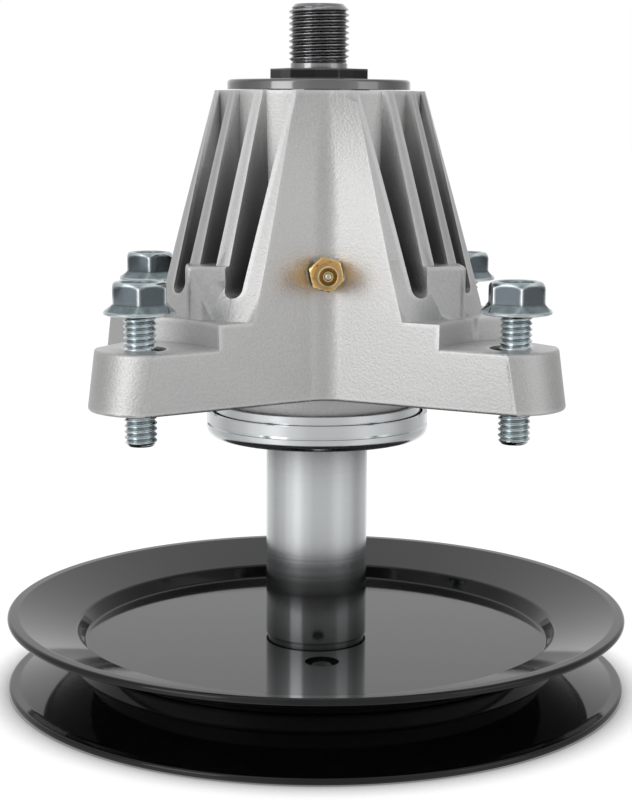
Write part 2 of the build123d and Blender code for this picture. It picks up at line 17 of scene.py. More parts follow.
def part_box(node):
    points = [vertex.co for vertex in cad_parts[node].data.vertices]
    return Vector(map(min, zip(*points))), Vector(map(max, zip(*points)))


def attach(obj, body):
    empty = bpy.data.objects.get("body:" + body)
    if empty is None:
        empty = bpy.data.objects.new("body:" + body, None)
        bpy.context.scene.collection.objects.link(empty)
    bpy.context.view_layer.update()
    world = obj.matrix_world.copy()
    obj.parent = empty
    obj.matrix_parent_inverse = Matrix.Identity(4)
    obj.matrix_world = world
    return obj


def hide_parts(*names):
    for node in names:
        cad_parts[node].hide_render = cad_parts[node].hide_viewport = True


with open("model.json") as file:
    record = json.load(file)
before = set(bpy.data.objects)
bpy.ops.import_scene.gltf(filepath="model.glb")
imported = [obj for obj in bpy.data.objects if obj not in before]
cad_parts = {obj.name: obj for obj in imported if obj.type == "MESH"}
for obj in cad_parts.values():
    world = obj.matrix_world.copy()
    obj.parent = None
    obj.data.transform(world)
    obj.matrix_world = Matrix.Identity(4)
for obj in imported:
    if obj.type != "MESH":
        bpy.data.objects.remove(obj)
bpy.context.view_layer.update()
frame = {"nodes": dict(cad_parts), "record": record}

MM = 0.001
TAU = 2 * math.pi

# %% [markdown]
# Helpers for node trees.
#
# Shader trees and geometry trees are built in the same way: a node is added, its inputs are given numbers or
# linked to another node's output, and its output goes on to the next node. A few short helpers do these jobs,
# so that each later tree reads like a formula.


# %% Tree helpers
def place(tree, kind, inputs=None, **settings):
    """Add one node, apply its settings and fill its inputs with values or links."""
    node = tree.nodes.new(kind)
    for name, value in settings.items():
        setattr(node, name, value)
    for key, value in (inputs or {}).items():
        socket = node.inputs[key]
        if isinstance(value, bpy.types.NodeSocket):
            tree.links.new(value, socket)
        else:
            socket.default_value = value
    return node


def maths(tree, operation, first, second=None):
    """One Math node's result."""
    inputs = {0: first}
    if second is not None:
        inputs[1] = second
    return place(tree, "ShaderNodeMath", inputs, operation=operation).outputs[0]


def blend_colours(tree, factor, first, second):
    """A Mix node's colour, from first at factor 0 to second at factor 1."""
    node = place(tree, "ShaderNodeMix", data_type="RGBA")
    for socket, value in ((node.inputs[0], factor), (node.inputs[6], first), (node.inputs[7], second)):
        if isinstance(value, bpy.types.NodeSocket):
            tree.links.new(value, socket)
        else:
            socket.default_value = value
    return node.outputs[2]


def ramp_value(tree, value, start, end, low=0.0, high=1.0):
    """A value that runs from low to high while its input runs from start to end."""
    return place(tree, "ShaderNodeMapRange", {0: value, 1: start, 2: end, 3: low, 4: high}).outputs[0]


def object_place(tree):
    """The x, y and z of a point in the shared frame, in metres."""
    spot = place(tree, "ShaderNodeTexCoord").outputs["Object"]
    return place(tree, "ShaderNodeSeparateXYZ", {0: spot}).outputs


def grey(level):
    """An opaque grey."""
    return (level, level, level, 1.0)


def new_group(name, inputs, outputs):
    """A shader node group with named inputs and outputs, and its two end nodes."""
    tree = bpy.data.node_groups.new(name, "ShaderNodeTree")
    for label, kind, value in inputs:
        socket = tree.interface.new_socket(label, in_out="INPUT", socket_type=kind)
        if value is not None:
            socket.default_value = value
    for label, kind in outputs:
        tree.interface.new_socket(label, in_out="OUTPUT", socket_type=kind)
    return tree, tree.nodes.new("NodeGroupInput"), tree.nodes.new("NodeGroupOutput")


# %% [markdown]
# Grain of a casting.
#
# Die-cast aluminium that was blasted clean has a fine sandy skin: hardly any relief, but enough to break up
# highlights, with slightly darker and lighter clouds. One group mixes a fine noise and a broad one. It gives
# a mask, for colour and roughness, and a height, so that any grained finish can use it with its own strengths.


# %% Group: cast grain
def build_cast_grain():
    """Fine grain with broad clouds."""
    number = "NodeSocketFloat"
    tree, source, result = new_group(
        "cast_grain",
        [("Grain per metre", number, 1700.0), ("Cloud per metre", number, 60.0),
         ("Cloud share", number, 0.3)],
        [("Mask", number), ("Height", number)])
    spot = place(tree, "ShaderNodeTexCoord").outputs["Object"]
    fine = place(tree, "ShaderNodeTexNoise", {
        "Vector": spot, "Scale": source.outputs[0], "Detail": 3.0, "Roughness": 0.6}).outputs[0]
    broad = place(tree, "ShaderNodeTexNoise", {
        "Vector": spot, "Scale": source.outputs[1], "Detail": 2.0, "Roughness": 0.5}).outputs[0]
    share = source.outputs[2]
    weighted = maths(tree, "MULTIPLY", broad, share)
    rest = maths(tree, "MULTIPLY", fine, maths(tree, "SUBTRACT", 1.0, share))
    tree.links.new(maths(tree, "ADD", weighted, rest), result.inputs[0])
    tree.links.new(fine, result.inputs[1])
    return tree


CAST_GRAIN = build_cast_grain()

# %% [markdown]
# Lathe lines.
#
# A turned disc or shaft carries fine grooves that run round its axis. They depend only on the distance from
# the axis and on the height, so a noise that is read at that pair of numbers gives rings that never close up
# or drift, whatever the piece's shape.


# %% Group: lathe lines
def build_lathe_lines():
    """Fine rings round the shared axis."""
    number = "NodeSocketFloat"
    tree, source, result = new_group(
        "lathe_lines", [("Lines per metre", number, 3000.0), ("Along height", number, 1.0)],
        [("Mask", number), ("Height", number)])
    x, y, z = object_place(tree)
    squares = maths(tree, "ADD", maths(tree, "MULTIPLY", x, x), maths(tree, "MULTIPLY", y, y))
    radius = maths(tree, "SQRT", squares)
    height = maths(tree, "MULTIPLY", z, source.outputs[1])
    where = place(tree, "ShaderNodeCombineXYZ", {0: radius, 1: height}).outputs[0]
    lines = place(tree, "ShaderNodeTexNoise", {
        "Vector": where, "Scale": source.outputs[0], "Detail": 2.0, "Roughness": 0.7}).outputs[0]
    tree.links.new(lines, result.inputs[0])
    tree.links.new(lines, result.inputs[1])
    return tree


LATHE_LINES = build_lathe_lines()

# %% [markdown]
# Bright edges and painted shade in recesses.
#
# Handling leaves a casting's corners a little brighter than its faces, and the lighter edge also stands in
# for the highlight that a rounded corner catches, so it is part wear and part painted highlight. Ambient
# occlusion that looks into the metal finds another face close by only near a corner, so a ramp on it gives
# a mask for a lighter edge. It needs no extra faces, which the pointiness of a mesh would. Narrow slots and
# other closed-in places get painted shade, a darker colour, and ambient occlusion that looks outwards finds
# those places.


# %% Group: bright edges
def build_bright_edges():
    """1 at sharp outer corners and 0 elsewhere."""
    number = "NodeSocketFloat"
    tree, source, result = new_group(
        "bright_edges", [("Reach", number, 0.0014), ("Start", number, 0.95), ("Full", number, 0.70)],
        [("Mask", number)])
    # Lightens edges in the finishes: part rubbed wear, part painted highlight.
    filled = place(tree, "ShaderNodeAmbientOcclusion", {"Distance": source.outputs[0]}, samples=8,
                   inside=True).outputs["AO"]
    tree.links.new(ramp_value(tree, filled, source.outputs[1], source.outputs[2]), result.inputs[0])
    return tree


BRIGHT_EDGES = build_bright_edges()


# %% Group: painted shade in recesses
def build_painted_shade():
    """1 where the surface is closed in and 0 in the open: the mask for painted shade."""
    number = "NodeSocketFloat"
    tree, source, result = new_group(
        "painted_recess_shade", [("Reach", number, 0.012), ("Open", number, 0.75), ("Closed", number, 0.25)],
        [("Mask", number)])
    open_share = place(tree, "ShaderNodeAmbientOcclusion", {"Distance": source.outputs[0]},
                       samples=8).outputs["AO"]
    tree.links.new(ramp_value(tree, open_share, source.outputs[1], source.outputs[2]), result.inputs[0])
    return tree


PAINTED_SHADE = build_painted_shade()


# %% [markdown]
# Finishes.
#
# Each metal is one material: a Principled shader whose plain numbers sit on its own sockets, and whose
# colour, roughness and bump come from the groups above. Small differences in roughness matter more than
# colour here, because all the metals reflect the same pale studio.


# %% Material helpers
def new_material(name, metallic, roughness, colour):
    """An empty finish: a material, its tree and its Principled shader with plain values."""
    material = bpy.data.materials.new(name)
    material.use_nodes = True
    tree = material.node_tree
    tree.nodes.clear()
    shader = place(tree, "ShaderNodeBsdfPrincipled", {
        "Base Color": colour, "Metallic": metallic, "Roughness": roughness})
    place(tree, "ShaderNodeOutputMaterial", {"Surface": shader.outputs[0]})
    return material, tree, shader


def use_group(tree, group, **inputs):
    """Place a group in a material with its own values."""
    node = place(tree, "ShaderNodeGroup", node_tree=group)
    for name, value in inputs.items():
        node.inputs[name.replace("_", " ")].default_value = value
    return node


def add_bump(tree, shader, height, distance):
    """Relief from a height, in metres."""
    bump = place(tree, "ShaderNodeBump", {"Height": height, "Distance": distance, "Strength": 1.0})
    tree.links.new(bump.outputs[0], shader.inputs["Normal"])


def spread(tree, mask, low, high):
    """Turn a noise mask, which stays near one half, into a value between two limits."""
    return ramp_value(tree, mask, 0.32, 0.68, low, high)


# %% [markdown]
# Cast aluminium.
#
# The housing's skin is grainy and pale, with brighter edges that are part wear and part painted highlight,
# painted shade in its slots, and nearly black painted shade on the walls of the four bored screw holes.
# Those holes have no mesh of their own to be given a second material, so a mask finds them: it is 1 close
# to a screw's axis and below the top of the flange. The screws' places are read from the frame.

# %% Cast aluminium
HEAD_HEIGHT = 7.9
SCREW_FLANGE_RADIUS = 8.7
SCREW_STANDOFF = 8.3
MOUTH_RADIUS = 6.36
SCREW_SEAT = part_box("deck_screws")[1][2] / MM - HEAD_HEIGHT
SCREW_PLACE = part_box("deck_screws")[1][0] / MM - SCREW_FLANGE_RADIUS


def bore_shade_mask(tree):
    """1 inside the four screw holes, where dark shade is painted, and 0 elsewhere."""
    x, y, z = object_place(tree)
    across, along = (maths(tree, "SUBTRACT", maths(tree, "ABSOLUTE", axis), SCREW_PLACE * MM)
                     for axis in (x, y))
    distance = maths(tree, "SQRT", maths(
        tree, "ADD", maths(tree, "MULTIPLY", across, across), maths(tree, "MULTIPLY", along, along)))
    near = maths(tree, "LESS_THAN", distance, (MOUTH_RADIUS + 0.24) * MM)
    flange_top = SCREW_SEAT - SCREW_STANDOFF
    sunk = ramp_value(tree, z, (flange_top - 0.1) * MM, (flange_top - 0.9) * MM)
    return maths(tree, "MULTIPLY", near, sunk)


def make_cast_aluminium():
    """The housing's finish: cloudy grain, painted shade in slots and bored holes, and bright edges that are
    part wear, part painted highlight.
    """
    material, tree, shader = new_material("cast_aluminium", 0.8, 0.42, grey(0.78))
    grain = use_group(tree, CAST_GRAIN)
    edges = use_group(tree, BRIGHT_EDGES)
    shade_in_recesses = use_group(tree, PAINTED_SHADE, Reach=0.012, Open=0.50, Closed=0.22)
    shade = blend_colours(tree, spread(tree, grain.outputs[0], 0.0, 1.0),
                          (0.71, 0.71, 0.705, 1), (0.85, 0.85, 0.845, 1))
    # Painted shade in the slots and other closed-in places.
    shade = blend_colours(tree, shade_in_recesses.outputs[0], shade, grey(0.36))
    # Painted shade, nearly black, on the walls of the bored screw holes.
    shade = blend_colours(tree, bore_shade_mask(tree), shade, grey(0.025))
    # Bright edges: part rubbed wear, part painted highlight.
    shade = blend_colours(tree, edges.outputs[0], shade, grey(0.95))
    tree.links.new(shade, shader.inputs["Base Color"])
    tree.links.new(spread(tree, grain.outputs[0], 0.36, 0.48), shader.inputs["Roughness"])
    add_bump(tree, shader, grain.outputs[1], 0.0001)
    return material


CAST = make_cast_aluminium()
print("screw seats at", SCREW_SEAT, "centres at", SCREW_PLACE)

# %% [markdown]
# Plated and turned steel.
#
# The sleeve, the cups, the disc, the shaft and the bearings are all bright steel, and differ in how dark,
# how smooth and how finely turned they are. One function makes them from those numbers. The sleeve stands
# in the black pulley and the shaft's thread has narrow roots, so both get painted shade: their colour grows
# darker where another surface is near.


# %% Plated and turned finishes
def make_turned(name, colour, low, high, lines, relief, rings_share=0.14, height_share=1.0, closed=1.0,
                near=0.03):
    """A metal with rings round the axis, and painted shade that dims it to its share closed where a surface is
    nearer than near.
    """
    material, tree, shader = new_material(name, 1.0, low, (*colour, 1.0))
    rings = use_group(tree, LATHE_LINES, Lines_per_metre=lines, Along_height=height_share)
    tree.links.new(spread(tree, rings.outputs[0], low, high), shader.inputs["Roughness"])
    darker = tuple((1 - rings_share) * level for level in colour) + (1.0,)
    shade = blend_colours(tree, spread(tree, rings.outputs[0], 0.0, 1.0), darker, (*colour, 1.0))
    # Painted shade: the colour is dimmed where another surface is near.
    shade_in_recesses = use_group(tree, PAINTED_SHADE, Reach=near, Open=0.85, Closed=0.45)
    shaded_tone = tuple(closed * level for level in colour) + (1.0,)
    tree.links.new(blend_colours(tree, shade_in_recesses.outputs[0], shade, shaded_tone), shader.inputs["Base Color"])
    add_bump(tree, shader, rings.outputs[1], relief)
    return material


ZINC = make_turned("zinc_plate", (0.92, 0.95, 0.96), 0.15, 0.19, 900.0, 0.0004 * MM, rings_share=0.03)
# The sleeve's zinc differs by painted shade near the black pulley's web.
SLEEVE_ZINC = make_turned("sleeve_zinc", (0.88, 0.91, 0.92), 0.15, 0.19, 900.0, 0.0004 * MM,
                          rings_share=0.03, closed=0.12, near=0.036)
TURNED = make_turned("turned_steel", (0.29, 0.29, 0.29), 0.07, 0.13, 2600.0, 0.003 * MM, height_share=0.2)
# Painted shade in the roots of the shaft's threads.
SHAFT = make_turned("shaft_steel", (0.42, 0.42, 0.43), 0.12, 0.2, 1500.0, 0.001 * MM, closed=0.2,
                    near=0.0012)
BEARING_STEEL = make_turned("bearing_steel", (0.70, 0.71, 0.72), 0.08, 0.16, 1200.0, 0.002 * MM)

# %% [markdown]
# Black, brass and rubber.
#
# The blade plate is black oxide with bright edges, part rubbed wear and part painted highlight, the pulley
# has a glossy black paint, the fitting is brass with bright edges of the same kind and a darker colour in
# its corners, and the bearing seals are rubber. All have a fine even grain and differ in colour, gloss and
# edges, so one function makes them too.


# %% Black, brass and rubber finishes
def make_grained(name, colour, metallic, low, high, grain_per_metre, relief, edge_wear_and_highlight=None, closed=None):
    """A paint, rubber or brass with a fine even grain, and if asked with bright edges, part wear and part
    painted highlight, and darker recesses.
    """
    material, tree, shader = new_material(name, metallic, low, (*colour, 1.0))
    grain = use_group(tree, CAST_GRAIN, Grain_per_metre=grain_per_metre)
    tree.links.new(spread(tree, grain.outputs[0], low, high), shader.inputs["Roughness"])
    paler = tuple(min(1.0, 1.2 * level + 0.004) for level in colour) + (1.0,)
    shade = blend_colours(tree, spread(tree, grain.outputs[0], 0.0, 1.0), (*colour, 1.0), paler)
    if closed:
        # Darker colour where another surface is near.
        shade_in_recesses = use_group(tree, PAINTED_SHADE, Reach=0.0022, Open=0.75, Closed=0.35)
        shade = blend_colours(tree, shade_in_recesses.outputs[0], shade, (*closed, 1.0))
    if edge_wear_and_highlight:
        # Bright edges: part rubbed wear, part painted highlight.
        edges = use_group(tree, BRIGHT_EDGES, Reach=0.0006)
        shade = blend_colours(tree, edges.outputs[0], shade, (*edge_wear_and_highlight, 1.0))
    tree.links.new(shade, shader.inputs["Base Color"])
    add_bump(tree, shader, grain.outputs[1], relief)
    return material


BLACK_OXIDE = make_grained("black_oxide", (0.012, 0.012, 0.012), 0.2, 0.3, 0.44, 1500.0, 0.01 * MM,
                           edge_wear_and_highlight=(0.35, 0.35, 0.35))
BLACK_PAINT = make_grained("black_paint", (0.006, 0.006, 0.0065), 0.0, 0.05, 0.09, 250.0, 0.0015 * MM)
BRASS = make_grained("brass", (0.80, 0.49, 0.17), 1.0, 0.18, 0.28, 2500.0, 0.0015 * MM,
                     edge_wear_and_highlight=(0.98, 0.80, 0.45), closed=(0.16, 0.09, 0.03))
RUBBER = make_grained("seal_rubber", (0.02, 0.02, 0.02), 0.0, 0.5, 0.6, 900.0, 0.01 * MM)

# %% [markdown]
# Screw zinc.
#
# The deck screws have a bluish zinc coat over rolled steel. Their flats carry a painted dark reflection
# between bright edges that are part rubbed wear and part painted highlight, which is what makes the hexagon
# readable from a step away. The flats are found by their height above the screw's seat, and the head's
# recesses get painted shade.


# %% Screw finish
def make_screw_zinc():
    """Bluish zinc: a painted dark reflection on the flats, painted shade in recesses and bright edges."""
    material, tree, shader = new_material("screw_zinc", 1.0, 0.14, (0.4, 0.45, 0.47, 1.0))
    grain = use_group(tree, CAST_GRAIN, Grain_per_metre=600.0)
    edges = use_group(tree, BRIGHT_EDGES, Reach=0.0009)
    shade_in_recesses = use_group(tree, PAINTED_SHADE, Reach=0.004, Open=0.7, Closed=0.3)
    shade = blend_colours(tree, spread(tree, grain.outputs[0], 0.0, 1.0),
                          (0.26, 0.33, 0.355, 1), (0.40, 0.49, 0.52, 1))
    # Painted shade where another surface is near.
    shade = blend_colours(tree, shade_in_recesses.outputs[0], shade, (0.16, 0.22, 0.24, 1))
    height = object_place(tree)[2]
    above = ramp_value(tree, height, (SCREW_SEAT + 2.3) * MM, (SCREW_SEAT + 2.7) * MM)
    below = ramp_value(tree, height, (SCREW_SEAT + 7.4) * MM, (SCREW_SEAT + 7.0) * MM)
    dark_flat_reflection = maths(tree, "MULTIPLY", above, below)
    # Painted dark reflection on the hexagon's flats.
    shade = blend_colours(tree, dark_flat_reflection, shade, (0.085, 0.10, 0.11, 1))
    # Bright edges: part rubbed wear, part painted highlight.
    shade = blend_colours(tree, edges.outputs[0], shade, (0.90, 0.95, 0.97, 1))
    tree.links.new(shade, shader.inputs["Base Color"])
    tree.links.new(spread(tree, grain.outputs[0], 0.10, 0.18), shader.inputs["Roughness"])
    add_bump(tree, shader, grain.outputs[1], 0.000002)
    return material


SCREW_ZINC = make_screw_zinc()

# %% [markdown]
# Finishes for the model's own pieces.
#
# The record names a material slot for each piece, and a piece whose shape is right only needs the finish of
# its slot. The sleeve has a finish of its own, and the screws get theirs when they are made.

# %% Finishes by slot
FINISH_OF_SLOT = {
    "cast_aluminium": CAST, "zinc_plate": ZINC, "turned_steel": TURNED, "shaft_steel": SHAFT,
    "bearing_steel": BEARING_STEEL, "black_oxide": BLACK_OXIDE, "black_paint": BLACK_PAINT,
    "brass": BRASS, "seal_rubber": RUBBER}
for part in frame["record"]["subparts"]:
    node = frame["nodes"][part["node"]]
    node.data.materials.clear()
    node.data.materials.append(FINISH_OF_SLOT[part["material_slot"]])
# The sleeve gets its own zinc, which has painted shade near the pulley.
frame["nodes"]["pulley_sleeve"].data.materials[0] = SLEEVE_ZINC
print("finishes", len(FINISH_OF_SLOT) + 2)

# %% [markdown]
# Helpers for turned and pressed pieces.
#
# A pressed pulley or a turned shaft is its cross-section swept round the axis. A section is written as
# corners with a bend radius each, the bends become short arcs, and the whole outline is turned with enough
# steps that the rim looks round in a close view.


# %% Mesh helpers
def finish_mesh(name, mesh_builder, material, smooth_angle=32):
    """Turn a bmesh into a shaded object with one material, its doubles merged and its faces outwards."""
    bmesh.ops.remove_doubles(mesh_builder, verts=mesh_builder.verts, dist=0.000002)
    bmesh.ops.recalc_face_normals(mesh_builder, faces=mesh_builder.faces)
    mesh = bpy.data.meshes.new(name)
    mesh_builder.to_mesh(mesh)
    mesh_builder.free()
    mesh.materials.append(material)
    mesh.shade_smooth()
    mesh.set_sharp_from_angle(angle=math.radians(smooth_angle))
    piece = bpy.data.objects.new(name, mesh)
    bpy.context.scene.collection.objects.link(piece)
    return piece


def bake_modifiers(piece):
    """Apply a piece's modifiers to its mesh."""
    depsgraph = bpy.context.evaluated_depsgraph_get()
    piece.data = bpy.data.meshes.new_from_object(piece.evaluated_get(depsgraph))
    piece.modifiers.clear()


def weigh_normals(piece, smooth_angle):
    """Shade large faces flat and let the small ones between them turn the light."""
    piece.data.shade_smooth()
    piece.data.set_sharp_from_angle(angle=math.radians(smooth_angle))
    weighting = piece.modifiers.new("weighted", "WEIGHTED_NORMAL")
    weighting.keep_sharp = True
    bake_modifiers(piece)


def bend_corners(corners, steps=6):
    """Outline of (radius, height) points from (radius, height, bend radius) corners, in millimetres."""
    outline = []
    count = len(corners)
    for index, (r, z, bend) in enumerate(corners):
        here = Vector((r, z))
        if bend == 0:
            outline.append(here)
            continue
        before = (Vector(corners[index - 1][:2]) - here).normalized()
        after = (Vector(corners[(index + 1) % count][:2]) - here).normalized()
        half = before.angle(after) / 2
        centre = here + (before + after).normalized() * (bend / math.sin(half))
        start = here + before * (bend / math.tan(half)) - centre
        end = here + after * (bend / math.tan(half)) - centre
        for step in range(steps + 1):
            outline.append(centre + start.lerp(end, step / steps).normalized() * bend)
    return outline


def join_rings(builder, rings, closed=False):
    """Fill the space between each ring of points and the next with faces, and if closed back to the first."""
    following = rings[1:] + rings[:1] if closed else rings[1:]
    for first, second in zip(rings, following):
        for index in range(len(first)):
            after = (index + 1) % len(first)
            builder.faces.new((first[index], first[after], second[after], second[index]))


def turn_outline(builder, outline, segments, closed=True):
    """Sweep an outline of (radius, height) points, in millimetres, round the axis into a bmesh."""
    turns = [TAU * segment / segments for segment in range(segments)]
    rings = [[builder.verts.new((radius * math.cos(turn) * MM, radius * math.sin(turn) * MM, height * MM))
              for turn in turns] for radius, height in outline]
    join_rings(builder, rings, closed)


def level(node, side):
    """Lowest (0) or highest (1) height of a CAD node, in millimetres."""
    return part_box(node)[side][2] / MM


def reach(node):
    """Largest radius of a CAD node about the axis, in millimetres."""
    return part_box(node)[1][0] / MM


# %% [markdown]
# Pulley.
#
# The pulley is two identical sheet pressings, back to back. Each has a flat web, a short steep step, a
# shallow cone that the belt rides on, and a flat lip. It is turned from its section, mirrored for the lower
# half, and the two lips keep the soft rounding that pressing leaves. The small hole is a Boolean cut, after
# which weighted normals keep the flat web free of shading marks.

# %% Pulley halves
SHEET = 2.0
BEND_SHIFT = 0.55
WEB_RADIUS = 62.6
STEP_RUN = 2.1
STEP_RISE = 3.5
LIP_WIDTH = 2.9
RIM_RADIUS = reach("pulley_upper_half")
JOINT_LEVEL = level("pulley_upper_half", 0)
RIM_RISE = level("pulley_upper_half", 1) - JOINT_LEVEL - SHEET
DRIVE_RADIUS = 8.6
WEB_HOLE_RADIUS = 4.4
WEB_HOLE_OFFSET = 25.8


def pulley_section(side):
    """Outline of one pressed half, side +1 above the joint and -1 below it."""
    step_foot = WEB_RADIUS
    step_head = WEB_RADIUS + STEP_RUN
    lip_start = RIM_RADIUS - LIP_WIDTH
    corners = [
        (DRIVE_RADIUS, 0, 0), (step_foot, 0, 1.6), (step_head, STEP_RISE, 1.0), (lip_start, RIM_RISE, 3.0),
        (RIM_RADIUS, RIM_RISE, 0.9), (RIM_RADIUS, RIM_RISE + SHEET, 0.9), (lip_start, RIM_RISE + SHEET, 1.4),
        (step_head - BEND_SHIFT, STEP_RISE + SHEET, 1.6), (step_foot - BEND_SHIFT, SHEET, 1.0),
        (DRIVE_RADIUS, SHEET, 0)]
    return [(radius, JOINT_LEVEL + side * height) for radius, height in bend_corners(corners)]


def make_pulley_half(name, side):
    """Turn one half and cut the small locating hole through its web."""
    builder = bmesh.new()
    turn_outline(builder, pulley_section(side), 256)
    half = finish_mesh(name, builder, BLACK_PAINT)
    cutter_builder = bmesh.new()
    below, above = JOINT_LEVEL - 5, JOINT_LEVEL + 5
    turn_outline(cutter_builder, [(0, below), (WEB_HOLE_RADIUS, below), (WEB_HOLE_RADIUS, above), (0, above)],
                 48, closed=False)
    bmesh.ops.translate(cutter_builder, verts=cutter_builder.verts, vec=(0, -WEB_HOLE_OFFSET * MM, 0))
    cutter = finish_mesh("hole_cutter", cutter_builder, BLACK_PAINT)
    cut = half.modifiers.new("hole", "BOOLEAN")
    cut.object = cutter
    cut.solver = "EXACT"
    bake_modifiers(half)
    bpy.data.objects.remove(cutter)
    weigh_normals(half, 40)
    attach(half, "rotor")
    return half


for name, side in (("pulley_upper_half", 1), ("pulley_lower_half", -1)):
    half = make_pulley_half(name.replace("pulley", "pressed"), side)
    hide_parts(name)
print("pulley radius", RIM_RADIUS, "joint at", JOINT_LEVEL)

# %% [markdown]
# Threads with Geometry Nodes.
#
# A thread is a rule: as the surface goes once round the axis, its ridge climbs by one pitch. A flat grid is
# bent into a tube, and each point's radius is set from its height and its angle, so one tree makes every
# thread on the object. Named inputs give it a size, and the ends close in flat discs.


# %% Geometry tree: thread
def build_thread_tree():
    """A closed, threaded rod between two heights."""
    tree = bpy.data.node_groups.new("thread", "GeometryNodeTree")
    for label, kind, value in (
            ("Crest radius", "NodeSocketFloat", 0.0078), ("Depth", "NodeSocketFloat", 0.0009),
            ("Pitch", "NodeSocketFloat", 0.0015), ("Bottom", "NodeSocketFloat", 0.0),
            ("Length", "NodeSocketFloat", 0.015), ("Bottom chamfer", "NodeSocketFloat", 0.0),
            ("Top chamfer", "NodeSocketFloat", 0.001), ("Around", "NodeSocketInt", 64),
            ("Rows", "NodeSocketInt", 160), ("Finish", "NodeSocketMaterial", None)):
        socket = tree.interface.new_socket(label, in_out="INPUT", socket_type=kind)
        if value is not None:
            socket.default_value = value
    tree.interface.new_socket("Geometry", in_out="OUTPUT", socket_type="NodeSocketGeometry")
    source = tree.nodes.new("NodeGroupInput").outputs
    result = tree.nodes.new("NodeGroupOutput")
    grid = place(tree, "GeometryNodeMeshGrid", {
        "Size X": 1.0, "Size Y": 1.0, "Vertices X": source["Around"], "Vertices Y": source["Rows"]})
    spot = place(tree, "ShaderNodeSeparateXYZ", {0: place(tree, "GeometryNodeInputPosition").outputs[0]})
    turn = maths(tree, "ADD", spot.outputs[0], 0.5)
    climb = maths(tree, "ADD", spot.outputs[1], 0.5)
    margin = maths(tree, "DIVIDE", 1.0, maths(tree, "SUBTRACT", source["Rows"], 1.0))
    inner = ramp_value(tree, climb, margin, maths(tree, "SUBTRACT", 1.0, margin))
    height = maths(tree, "MULTIPLY", inner, source["Length"])
    turns_up = maths(tree, "DIVIDE", height, source["Pitch"])
    phase = maths(tree, "FRACT", maths(tree, "SUBTRACT", turns_up, turn))
    wave = maths(tree, "ABSOLUTE", maths(tree, "SUBTRACT", maths(tree, "MULTIPLY", phase, 2.0), 1.0))
    ridge = ramp_value(tree, wave, 0.14, 0.86, 1.0, 0.0)
    radius = maths(tree, "SUBTRACT", source["Crest radius"], maths(tree, "MULTIPLY", ridge, source["Depth"]))
    above = maths(tree, "MAXIMUM", 0.0, maths(
        tree, "SUBTRACT", source["Top chamfer"], maths(tree, "SUBTRACT", source["Length"], height)))
    below = maths(tree, "MAXIMUM", 0.0, maths(tree, "SUBTRACT", source["Bottom chamfer"], height))
    limit = maths(tree, "SUBTRACT", source["Crest radius"], maths(tree, "MAXIMUM", above, below))
    radius = maths(tree, "MINIMUM", radius, limit)
    half_margin = maths(tree, "MULTIPLY", margin, 0.5)
    open_rows = maths(tree, "MULTIPLY", maths(tree, "GREATER_THAN", climb, half_margin),
                      maths(tree, "LESS_THAN", climb, maths(tree, "SUBTRACT", 1.0, half_margin)))
    radius = maths(tree, "MULTIPLY", radius, open_rows)
    angle = maths(tree, "MULTIPLY", turn, TAU)
    position = place(tree, "ShaderNodeCombineXYZ", {
        0: maths(tree, "MULTIPLY", radius, maths(tree, "COSINE", angle)),
        1: maths(tree, "MULTIPLY", radius, maths(tree, "SINE", angle)),
        2: maths(tree, "ADD", height, source["Bottom"])}).outputs[0]
    moved = place(tree, "GeometryNodeSetPosition", {"Geometry": grid.outputs["Mesh"], "Position": position})
    closed = place(tree, "GeometryNodeMergeByDistance", {"Geometry": moved.outputs[0], "Distance": 0.000001})
    whole = place(tree, "GeometryNodeRealizeInstances", {"Geometry": closed.outputs[0]})
    coloured = place(tree, "GeometryNodeSetMaterial", {
        "Geometry": whole.outputs[0], "Material": source["Finish"]})
    tree.links.new(coloured.outputs[0], result.inputs[0])
    return tree


THREAD_TREE = build_thread_tree()


def tree_mesh(name, tree, mesh=None, **inputs):
    """Evaluate a geometry tree with named inputs, on a mesh if given, and return the plain mesh."""
    carrier = bpy.data.objects.new(name, mesh or bpy.data.meshes.new(name))
    bpy.context.scene.collection.objects.link(carrier)
    modifier = carrier.modifiers.new(name, "NODES")
    modifier.node_group = tree
    sockets = {item.name: item.identifier for item in tree.interface.items_tree if item.in_out == "INPUT"}
    for label, value in inputs.items():
        modifier[sockets[label.replace("_", " ")]] = value
    depsgraph = bpy.context.evaluated_depsgraph_get()
    made = bpy.data.meshes.new_from_object(carrier.evaluated_get(depsgraph))
    bpy.data.objects.remove(carrier)
    return made


# %% [markdown]
# Shaft.
#
# The shaft is one turned bar: nut thread at the foot, a plain journal that is hidden by the sleeve and the
# bearings, a short neck, and the dark blade thread on top. The plain lengths are turned from a section and
# the two threads come from the tree.

# %% Shaft with its threads
JOURNAL_RADIUS = reach("spindle_shaft")
SHAFT_FOOT = level("spindle_shaft", 0)
SHAFT_HEAD = level("spindle_shaft", 1)
WEB_FACE = JOINT_LEVEL + SHEET
WASHER_FACE = level("dust_washer", 1)
STAR_FACE = level("blade_star", 1)
NECK_RADIUS = 7.35
NECK_HEAD = STAR_FACE + 1.7
THREAD_RADIUS = 7.8
THREAD_DEPTH = 0.9
THREAD_PITCH = 1.5
DRIVE_INSET = 0.9
STAR_INSET = 0.2
LOWER_THREAD_HEAD = JOINT_LEVEL - SHEET


